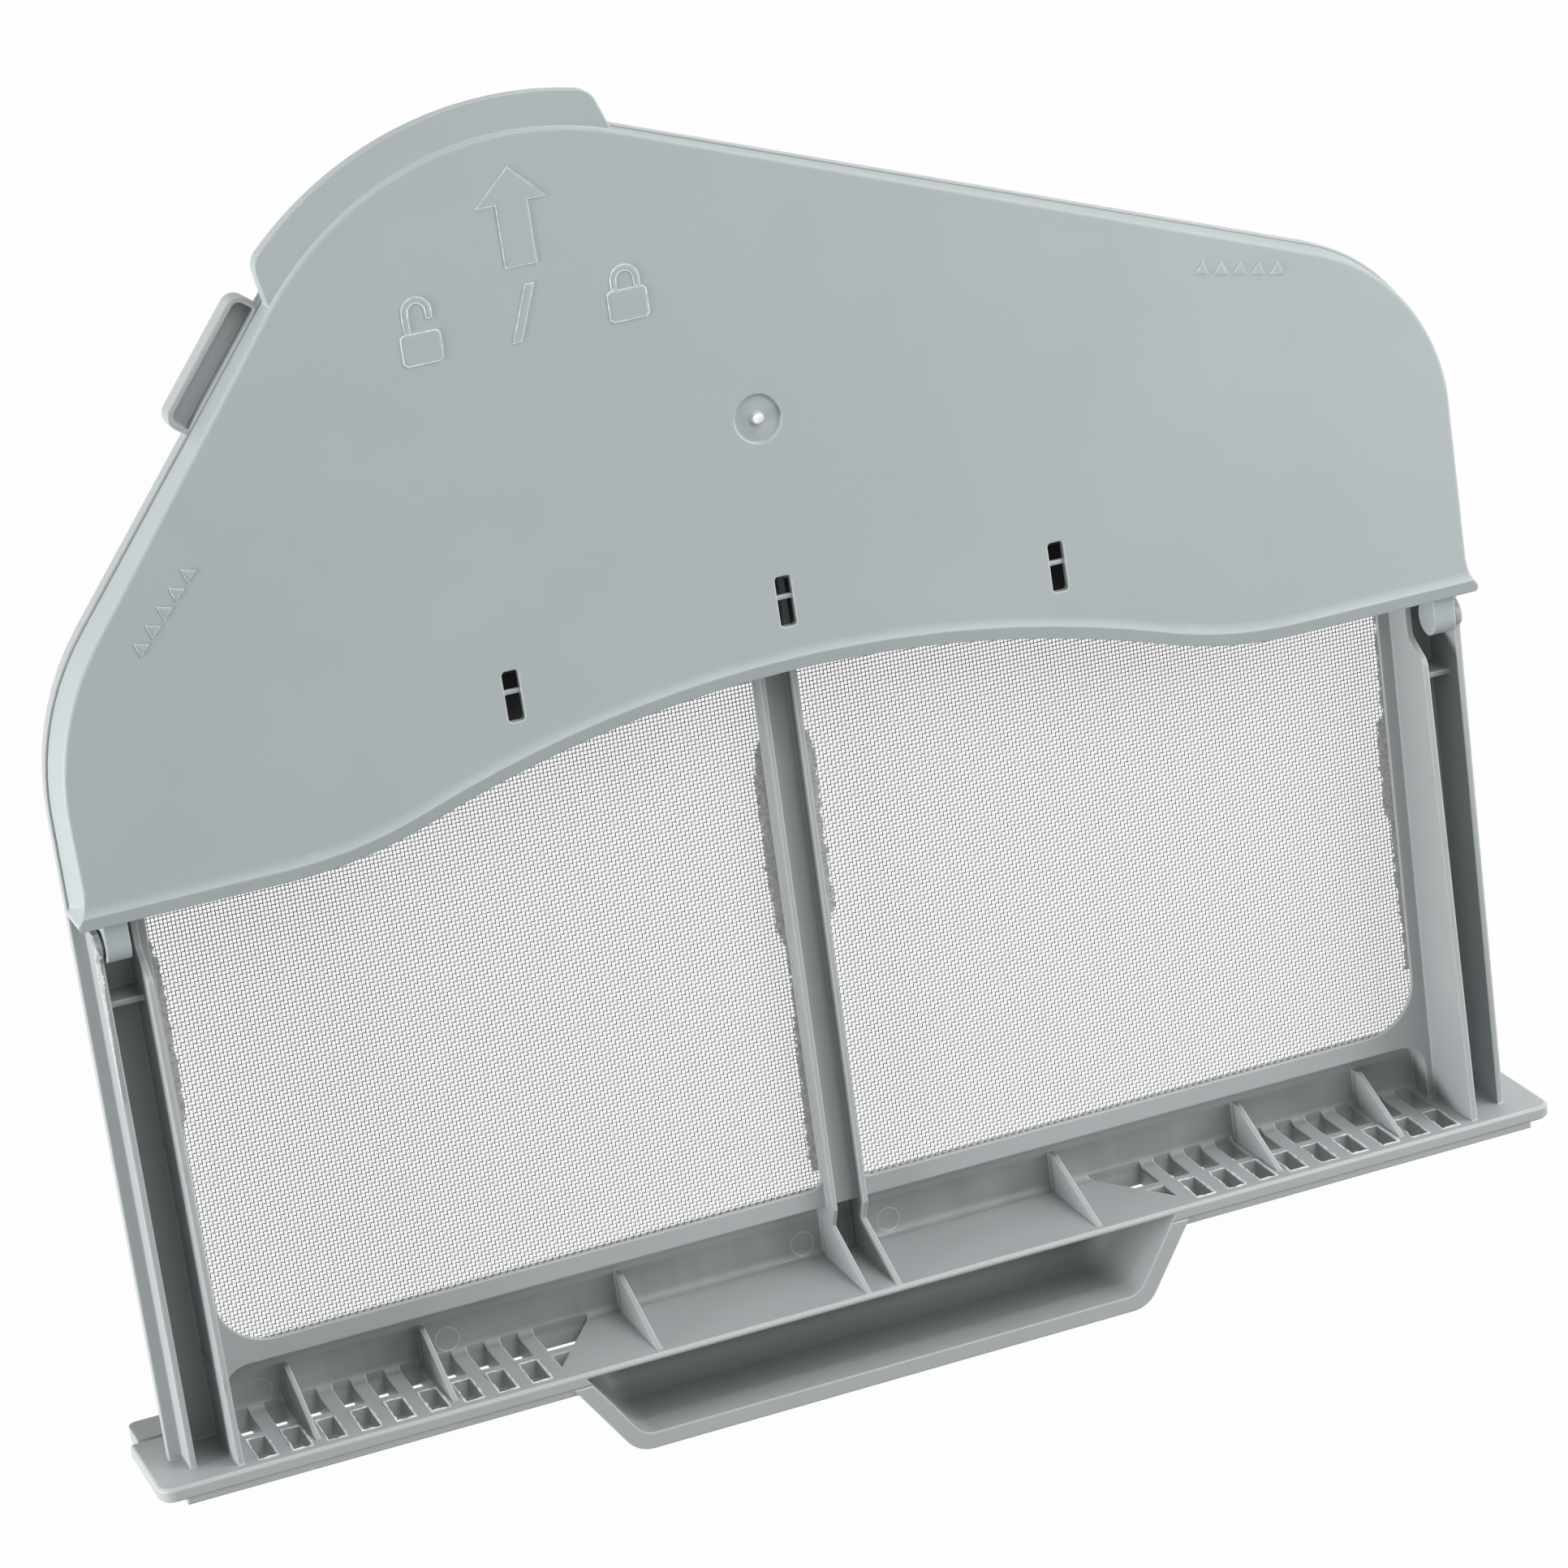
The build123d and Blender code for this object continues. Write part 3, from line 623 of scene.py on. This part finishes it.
def addCoverSigns(look):
    outlines = [look["arrow"], look["slash"]]
    for centre, lift in look["locks"]:
        outlines += lockOutlines(look, centre, lift)
    for centre, angle in look["wedgeRows"]:
        for step in range(look["wedgeCount"]):
            along = (step - (look["wedgeCount"] - 1) / 2) * look["wedgePitch"]
            spot = placed([(along, 0.0)], centre, angle)[0]
            outlines.append(placed(look["wedge"], spot, angle))
    points, faces = [], []
    for outline in outlines:
        addPlateau(points, faces, "cover", outline, look["rise"], look["sink"])
    keepPiece("cover_signs", points, faces, coverPlasticMaterial, "cover")
    addSignLines(look, outlines)


# The signs' edges: pale tubes that are a painted highlight
def addSignLines(look, outlines):
    curve = bpy.data.curves.new("signLines", "CURVE")
    curve.dimensions = "3D"
    curve.bevel_depth = look["lineRadius"] * mm
    curve.bevel_resolution = look["lineRounding"]
    level = (look["rise"] - look["lineSink"] * look["lineRadius"]) * mm
    for outline in outlines:
        line = curve.splines.new("POLY")
        line.points.add(len(outline) - 1)
        line.use_cyclic_u = True
        for point, (x, y) in zip(line.points, outline):
            point.co = (x * mm, y * mm, heightOn("cover", x, y) + level, 1.0)
    holder = bpy.data.objects.new("signLines", curve)
    scene.collection.objects.link(holder)
    mesh = bpy.data.meshes.new_from_object(holder.evaluated_get(bpy.context.evaluated_depsgraph_get()))
    bpy.data.objects.remove(holder)
    placePiece("cover_sign_edges", mesh, paleFlashAndHighlightMaterial, "cover")


# Witness rings that the ejector pins left on the frame, and two scratches on the bay's fold
pinMarks = {
    "rings": [
        (-8.9, -122.5), (11.8, -122.3), (-92.5, -122.0), (-135.1, -121.9),
        (-149.7, -107.8), (-149.6, -59.8), (1.3, -63.5), (149.6, -59.0),
    ],
    "radius": 2.85,
    "width": 0.28,
    "ringSteps": 40,
    "scratches": [((-15.8, -125.4), (-5.2, -125.4)), ((8.2, -125.4), (15.0, -125.4))],
    "scratchWidth": 0.22,
    "rise": 0.07,
    "sink": 0.05,
    "colour": (0.475, 0.504, 0.509, 1.0),
    "shade": (0.405, 0.434, 0.440, 1.0),
    "patternScale": 300.0,
    "roughness": 0.5,
}


def addPinMarks(look):
    points, faces = [], []
    for centre in look["rings"]:
        outer = circlePoints(centre, look["radius"], look["ringSteps"])
        inner = circlePoints(centre, look["radius"] - look["width"], look["ringSteps"])
        addPlateau(points, faces, "frame", outer, look["rise"], look["sink"], inner)
    for (x0, y0), (x1, y1) in look["scratches"]:
        half = look["scratchWidth"] / 2
        outline = [(x0, y0 - half), (x1, y1 - half / 2), (x1, y1 + half / 2), (x0, y0 + half)]
        addPlateau(points, faces, "frame", outline, look["rise"], look["sink"])
    keepPiece("frame_pin_marks", points, faces, speckledMaterial("pinMark", look), "frame")


addCoverSigns(coverSigns)
addPinMarks(pinMarks)


# Whitened plastic: the broken-off gate on the cover and the flash left on the rib
whitePlastic = {
    "colour": (0.880, 0.885, 0.880, 1.0),
    "shade": (0.700, 0.710, 0.710, 1.0),
    "patternScale": 900.0,
    "roughness": 0.6,
}
whitePlasticMaterial = speckledMaterial("whitePlastic", whitePlastic)
gateStub = {
    "place": (0.0, 71.3),
    "radius": 1.15,
    "height": 0.75,
    "sink": 0.1,
    "rings": 4,
    "ringSteps": 16,
    "lump": 0.30,
    "lumpScale": 1.3,
}
ribFlash = {
    "edge": -156.4,  # x of the rib's outer edge
    "middle": 0.7,  # from that edge to where the rib's height is read
    "start": -7.0,
    "end": -42.0,
    "step": 0.4,
    "reach": 1.5,
    "overhang": 0.6,
    "least": 0.02,
    "thick": 0.3,
    "sink": 0.05,
    "growth": 0.05,  # share of its length over which it grows to full width
    "taper": 1.4,
    "ragged": (0.35, 0.9),  # steady share and swing of its width
    "raggedScale": 0.9,
    "raggedLayer": 3.1,
}


def addGateStub(look):
    rings, count = look["rings"], look["ringSteps"]
    x, y = look["place"]
    base = heightOn("cover", x, y)
    points, faces = [], []
    for ring in range(rings):
        rise = ring / rings
        sink = 0.0 if ring else look["sink"]
        radius = look["radius"] * math.sqrt(1 - rise ** 2)
        for px, py in circlePoints((x, y), radius, count):
            lump = look["lump"] * noise.noise(Vector((px, py, rise)) * look["lumpScale"])
            height = base + (look["height"] * rise + lump * rise - sink) * mm
            points.append((px * mm, py * mm, height))
    points.append((x * mm, y * mm, base + look["height"] * mm))
    for ring in range(rings - 1):
        for step in range(count):
            a, b = ring * count + step, ring * count + (step + 1) % count
            faces.append((a, b, b + count, a + count))
    top = (rings - 1) * count
    faces += [(top + step, top + (step + 1) % count, len(points) - 1) for step in range(count)]
    faces.append(tuple(range(count)))
    keepPiece("cover_gate_stub", points, faces, whitePlasticMaterial, "cover")


def addRibFlash(look):
    steps = int(abs(look["end"] - look["start"]) / look["step"])
    steady, swing = look["ragged"]
    points, faces = [], []
    for step in range(steps + 1):
        share = step / steps
        y = look["start"] + (look["end"] - look["start"]) * share
        fade = min(1.0, share / look["growth"]) * (1 - share) ** look["taper"]  # widest by the hinge
        spot = Vector((0.0, y * look["raggedScale"], look["raggedLayer"]))
        ragged = steady + swing * abs(noise.noise(spot))
        reach = look["reach"] * fade * ragged + look["least"]
        overhang = look["overhang"] * fade * ragged + look["least"]
        z = heightOn("frame", look["edge"] + look["middle"], y)
        for x in (look["edge"] - overhang, look["edge"] + reach):
            for level in (-look["sink"], look["thick"]):
                points.append((x * mm, y * mm, z + level * mm))
    for step in range(steps):
        a, b = 4 * step, 4 * step + 4
        for low, high in ((0, 1), (1, 3), (3, 2), (2, 0)):
            faces.append((a + low, a + high, b + high, b + low))
    faces += [(0, 1, 3, 2), (4 * steps, 4 * steps + 1, 4 * steps + 3, 4 * steps + 2)]
    keepPiece("frame_flash", points, faces, whitePlasticMaterial, "frame")


addGateStub(gateStub)
addRibFlash(ribFlash)


# Ragged film of plastic that crept over the screens' edges in the mould
edgeFilm = {
    "colour": (0.500, 0.502, 0.485, 1.0),
    "shade": (0.315, 0.318, 0.305, 1.0),
    "patternScale": 1400.0,
    "roughness": 0.6,
    "cell": 0.32,
    "columns": 14,
    "low": 15.98,
    "high": 16.08,
    "ragged": 0.6,
    "frayScales": (0.45, 2.3),  # broad and fine
    "frayBroad": 0.8,
    "frayLayer": 1.0,
    "sway": 0.45,  # share of a cell by which a corner is moved
    "swayScale": 2.1,
    "swayLayer": 7.0,
    "seed": 1,  # of the sway, which would otherwise differ in every run
    # edge's x, way in to the screen, and the film's width at heights along it
    "runs": [
        (-4.6, -1, [
            (-3, 0.6), (-9, 2.2), (-30, 2.4), (-46, 2.0), (-50, 0.6), (-62, 0.5), (-76, 1.3), (-104, 1.7),
        ]),
        (4.6, 1, [(-3, 2.0), (-8, 3.0), (-26, 2.4), (-44, 2.8), (-48, 0.5), (-106, 0.4)]),
        (-142.7, 1, [(-14, 0.3), (-20, 1.6), (-42, 1.6), (-54, 1.2), (-58, 0.3)]),
        (142.7, -1, [(-3, 0.4), (-32, 0.4), (-34, 2.3), (-55, 2.4), (-58, 1.2), (-94, 0.9)]),
    ],
}


def widthAt(stops, where):
    for (y0, w0), (y1, w1) in zip(stops, stops[1:]):
        if y1 <= where <= y0:
            return w0 + (w1 - w0) * (where - y0) / (y1 - y0)
    return 0.0


# Cells that hang together from the window's edge, filled in where two would meet only at a corner
def joinedCells(chosen):
    joined = set()
    waiting = [cell for cell in chosen if cell[1] == 0]
    while waiting:
        row, column = waiting.pop()
        if (row, column) in chosen and (row, column) not in joined:
            joined.add((row, column))
            waiting += [(row + 1, column), (row - 1, column), (row, column + 1), (row, column - 1)]
    while True:
        missing = set()
        for row, column in joined:
            for side in (-1, 1):
                between = {(row, column + side), (row + 1, column)}
                if (row + 1, column + side) in joined and not between & joined:
                    missing.add((row + 1, column) if side > 0 else (row, column + side))
        if not missing:
            return sorted(joined)
        joined |= missing


def addFilmRun(shape, look, edge, way, stops):
    cell = look["cell"]
    start, end = stops[0][0], stops[-1][0]
    broad, fine = look["frayScales"]
    corners, chosen = {}, set()

    def corner(row, column):
        if (row, column) not in corners:
            x, y = edge + way * column * cell, start - row * cell
            spot = Vector((x, y, look["swayLayer"])) * look["swayScale"]
            sway = noise.noise_vector(spot) * (look["sway"] * cell if column else 0.0)
            moved = ((x + sway.x) * mm, (y + sway.y) * mm, look["high"] * mm)
            corners[row, column] = shape.verts.new(moved)
        return corners[row, column]

    for row in range(int((start - end) / cell)):
        y = start - (row + 0.5) * cell
        for column in range(look["columns"]):
            reach = (column + 0.5) * cell
            spot = Vector((edge + way * reach, y, look["frayLayer"]))
            fray = look["frayBroad"] * noise.noise(spot * broad) + noise.noise(spot * fine)
            if reach < widthAt(stops, y) + look["ragged"] * fray:
                chosen.add((row, column))
    for row, column in joinedCells(chosen):
        ring = [corner(row, column), corner(row, column + 1)]
        shape.faces.new(ring + [corner(row + 1, column + 1), corner(row + 1, column)])


def addEdgeFilm(look):
    noise.seed_set(look["seed"])
    shape = bmesh.new()
    for edge, way, stops in look["runs"]:
        addFilmRun(shape, look, edge, way, stops)
    bmesh.ops.recalc_face_normals(shape, faces=shape.faces)
    for face in shape.faces:
        if face.normal.z < 0:
            face.normal_flip()
    bmesh.ops.solidify(shape, geom=shape.faces, thickness=(look["high"] - look["low"]) * mm)
    mesh = bpy.data.meshes.new("screen_edge_film")
    shape.to_mesh(mesh)
    shape.free()
    placePiece("screen_edge_film", mesh, speckledMaterial("edgeFilm", look), "frame")


addEdgeFilm(edgeFilm)


# Lumpy burrs round the front row of vents
ventBurrs = {
    "First": 78.9 * mm,
    "Pitch": 7.7 * mm,
    "Count": 9,
    "Width": 4.3 * mm,
    "Length": 10.9 * mm,
    "Level": -126.03 * mm,
    "Middle": 29.5 * mm,
    "Rim Points": 56,
    "Tube Sides": 6,
    "Thickness": 0.24 * mm,
    "Thinnest": 0.4,  # shares of the thickness
    "Thickest": 1.5,
    "Lump": 0.30 * mm,
    "Lump Scale": 700.0,
    "Lump Detail": 1.0,
    "Lump Low": 0.3,
    "Lump High": 0.7,
}


def burrTree(look):
    tree = bpy.data.node_groups.new("ventBurrs", "GeometryNodeTree")
    face = tree.interface
    face.new_socket("Start", in_out="INPUT", socket_type="NodeSocketGeometry")
    for name, value in look.items():
        kind = "NodeSocketInt" if isinstance(value, int) else "NodeSocketFloat"
        face.new_socket(name, in_out="INPUT", socket_type=kind)
    face.new_socket("Material", in_out="INPUT", socket_type="NodeSocketMaterial")
    face.new_socket("Burrs", in_out="OUTPUT", socket_type="NodeSocketGeometry")
    given = addNode(tree, "NodeGroupInput").outputs
    made = addNode(tree, "NodeGroupOutput")
    rim = addNode(tree, "GeometryNodeCurvePrimitiveQuadrilateral", {
        "Width": given["Width"], "Height": given["Length"],
    })
    both = addNode(tree, "GeometryNodeJoinGeometry")
    for sign in (-1.0, 1.0):
        start = addNode(tree, "ShaderNodeCombineXYZ", {
            "X": maths(tree, "MULTIPLY", given["First"], sign), "Y": given["Level"], "Z": given["Middle"],
        })
        offset = addNode(tree, "ShaderNodeCombineXYZ", {"X": maths(tree, "MULTIPLY", given["Pitch"], sign)})
        row = addNode(tree, "GeometryNodeMeshLine", {
            "Count": given["Count"], "Start Location": start.outputs[0], "Offset": offset.outputs[0],
        })
        laid = addNode(tree, "GeometryNodeInstanceOnPoints", {
            "Points": row.outputs[0], "Instance": rim.outputs[0], "Rotation": (math.pi / 2, 0.0, 0.0),
        })
        tree.links.new(laid.outputs[0], both.inputs[0])
    real = addNode(tree, "GeometryNodeRealizeInstances", {0: both.outputs[0]})
    fine = addNode(tree, "GeometryNodeResampleCurve", {
        "Curve": real.outputs[0], "Count": given["Rim Points"],
    })
    place = addNode(tree, "GeometryNodeInputPosition").outputs[0]
    lumps = noisePattern(tree, place, given["Lump Scale"], given["Lump Detail"])
    drift = vectorMaths(tree, "SUBTRACT", lumps["Color"], noiseMiddle)
    shift = addNode(tree, "ShaderNodeVectorMath", {0: drift, "Scale": given["Lump"]}, operation="SCALE")
    uneven = addNode(tree, "GeometryNodeSetPosition", {0: fine.outputs[0], "Offset": shift.outputs[0]})
    swell = addNode(tree, "ShaderNodeMapRange", {
        "Value": lumps["Fac"], "From Min": given["Lump Low"], "From Max": given["Lump High"],
        "To Min": given["Thinnest"], "To Max": given["Thickest"],
    }).outputs[0]
    thick = addNode(tree, "GeometryNodeSetCurveRadius", {"Curve": uneven.outputs[0], "Radius": swell})
    profile = addNode(tree, "GeometryNodeCurvePrimitiveCircle", {
        "Resolution": given["Tube Sides"], "Radius": given["Thickness"],
    })
    tube = addNode(tree, "GeometryNodeCurveToMesh", {
        "Curve": thick.outputs[0], "Profile Curve": profile.outputs[0], "Scale": swell,
    })
    whole = addNode(tree, "GeometryNodeRealizeInstances", {0: tube.outputs[0]})
    clad = {"Geometry": whole.outputs[0], "Material": given["Material"]}
    finished = addNode(tree, "GeometryNodeSetMaterial", clad)
    tree.links.new(finished.outputs[0], made.inputs[0])
    return tree


burrs = growPiece(
    "frame_vent_burrs", bpy.data.meshes.new("burrStart"), burrTree(ventBurrs),
    dict(ventBurrs, Material=paleFlashAndHighlightMaterial),
)
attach(burrs, "frame")
print("added", burrs.name, len(burrs.data.polygons), "faces")
